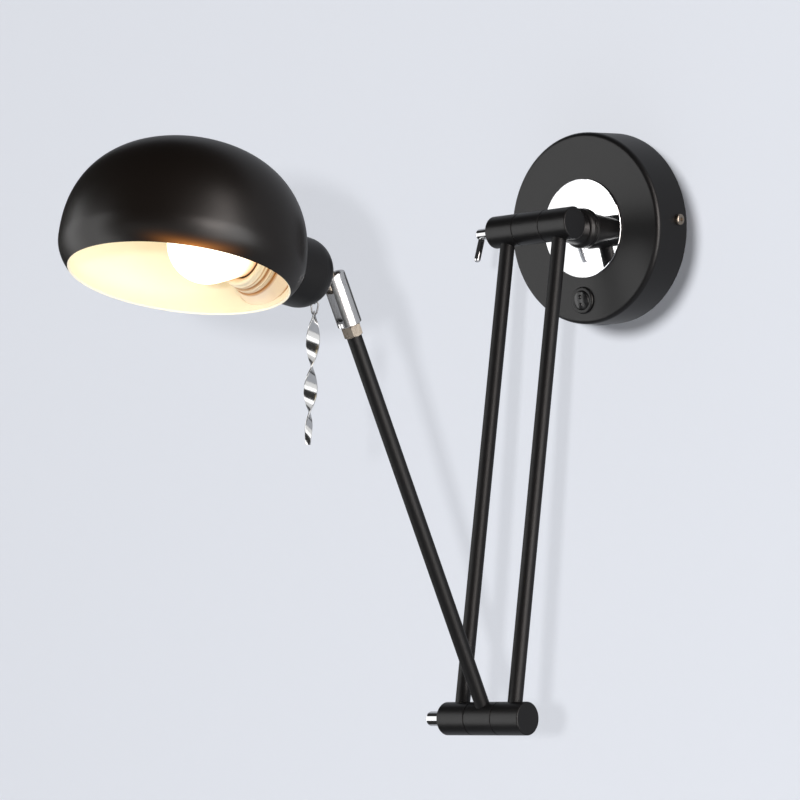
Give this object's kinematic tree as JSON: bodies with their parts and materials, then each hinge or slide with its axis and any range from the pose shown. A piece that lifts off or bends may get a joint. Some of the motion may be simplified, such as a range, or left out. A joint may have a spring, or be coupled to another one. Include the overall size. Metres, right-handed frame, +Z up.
{
  "type": "swing arm wall lamp",
  "caption": "Swing arm wall lamp: round plate with rocker switch, swivel neck, forked lower arm, single-rod forearm, tilting dome shade held from its side, globe bulb, hanging metal twist.",
  "frame": {"origin": "on the wall, at the middle of the wall plate's open back", "axes": "+Z up, +X to the right of someone who faces the wall, -Y out of the wall"},
  "size_m": [0.1374, 0.4402, 0.3666],
  "materials": {
    "black_paint": "satin black enamel",
    "chrome": "polished",
    "nickel": "dull nickel plate",
    "zinc_steel": "zinc plated",
    "brass": "bare brass",
    "black_plastic": "moulded, glossy",
    "bush_plastic": "natural nylon",
    "cream_holder": "moulded, ivory",
    "opal_glass": "opal, lit from within"
  },
  "bodies": {
    "base": {"wall_bracket": "zinc_steel", "earth_screw": "brass", "terminal_block": "bush_plastic", "wall_plate": "black_paint", "plate_side_screws": "nickel", "rose_disc": "chrome", "neck_bush": "bush_plastic", "switch_body": "black_plastic", "switch_tabs": "brass"},
    "rocker": {"switch_rocker": "black_plastic"},
    "neck": {"neck_stem": "black_paint", "neck_washer": "zinc_steel", "neck_nut": "zinc_steel", "shoulder_barrel": "black_paint"},
    "fork": {"shoulder_knuckle_left": "black_paint", "shoulder_knuckle_right": "black_paint", "shoulder_washers": "bush_plastic", "fork_rod_left": "black_paint", "fork_rod_right": "black_paint", "elbow_knuckle_left": "black_paint", "elbow_knuckle_right": "black_paint", "elbow_washers": "bush_plastic", "shoulder_stud": "zinc_steel", "elbow_stud": "zinc_steel"},
    "shoulder_clamp": {"shoulder_clamp_nut": "chrome", "shoulder_lever": "chrome"},
    "elbow_clamp": {"elbow_clamp_nut": "chrome", "elbow_lever": "chrome"},
    "forearm": {"elbow_barrel": "black_paint", "forearm_rod": "black_paint", "lock_nut": "nickel", "clevis": "chrome", "tilt_pin": "chrome"},
    "head": {"head_tongue": "chrome", "tongue_nut": "zinc_steel", "socket_cup": "black_paint", "lamp_holder": "cream_holder", "holder_sleeve": "brass", "holder_contact": "brass", "shade": "black_paint", "shade_ring": "cream_holder", "ring_nut": "cream_holder", "bulb_cap": "nickel", "bulb_glass": "opal_glass", "pendant_eye": "chrome"},
    "link": {"pendant_link": "chrome"},
    "drop": {"twisted_drop": "chrome"}
  },
  "joints": [
    {"name": "neck_swivel", "type": "hinge", "parent": "base", "child": "neck", "pos_m": [0, 0, 0], "axis": [0, -1, 0], "range_deg": [-95, 85]},
    {"name": "shoulder", "type": "hinge", "parent": "neck", "child": "fork", "pos_m": [0, -0.0745, 0], "axis": [-0.9962, 0, -0.0872], "range_deg": [-22, 90]},
    {"name": "elbow", "type": "hinge", "parent": "fork", "child": "forearm", "pos_m": [0.02571, -0.14804, -0.29385], "axis": [0.9962, 0, 0.0872], "range_deg": [-28, 120]},
    {"name": "head_tilt", "type": "hinge", "parent": "forearm", "child": "head", "pos_m": [0.00292, -0.25368, -0.03338], "axis": [-0.9962, 0, -0.0872], "range_deg": [-25, 60]},
    {"name": "rocker_tilt", "type": "hinge", "parent": "base", "child": "rocker", "pos_m": [0, -0.0282, -0.045], "axis": [1, 0, 0], "range_deg": [-16, 0]},
    {"name": "shoulder_clamp_turn", "type": "hinge", "parent": "fork", "child": "shoulder_clamp", "pos_m": [0, -0.0745, 0], "axis": [0.9962, 0, 0.0872], "range_deg": [-90, 90]},
    {"name": "elbow_clamp_turn", "type": "hinge", "parent": "fork", "child": "elbow_clamp", "pos_m": [0.02571, -0.14804, -0.29385], "axis": [0.9962, 0, 0.0872], "range_deg": [-90, 90]},
    {"name": "link_swing", "type": "hinge", "parent": "head", "child": "link", "pos_m": [0.00379, -0.27164, -0.0451], "axis": [-0.682, 0.7314, 0], "range_deg": [-40, 19]},
    {"name": "drop_swing", "type": "hinge", "parent": "link", "child": "drop", "pos_m": [0.00355, -0.27186, -0.05122], "axis": [0.7304, 0.6811, -0.0523], "range_deg": [-60, 60]}
  ]
}
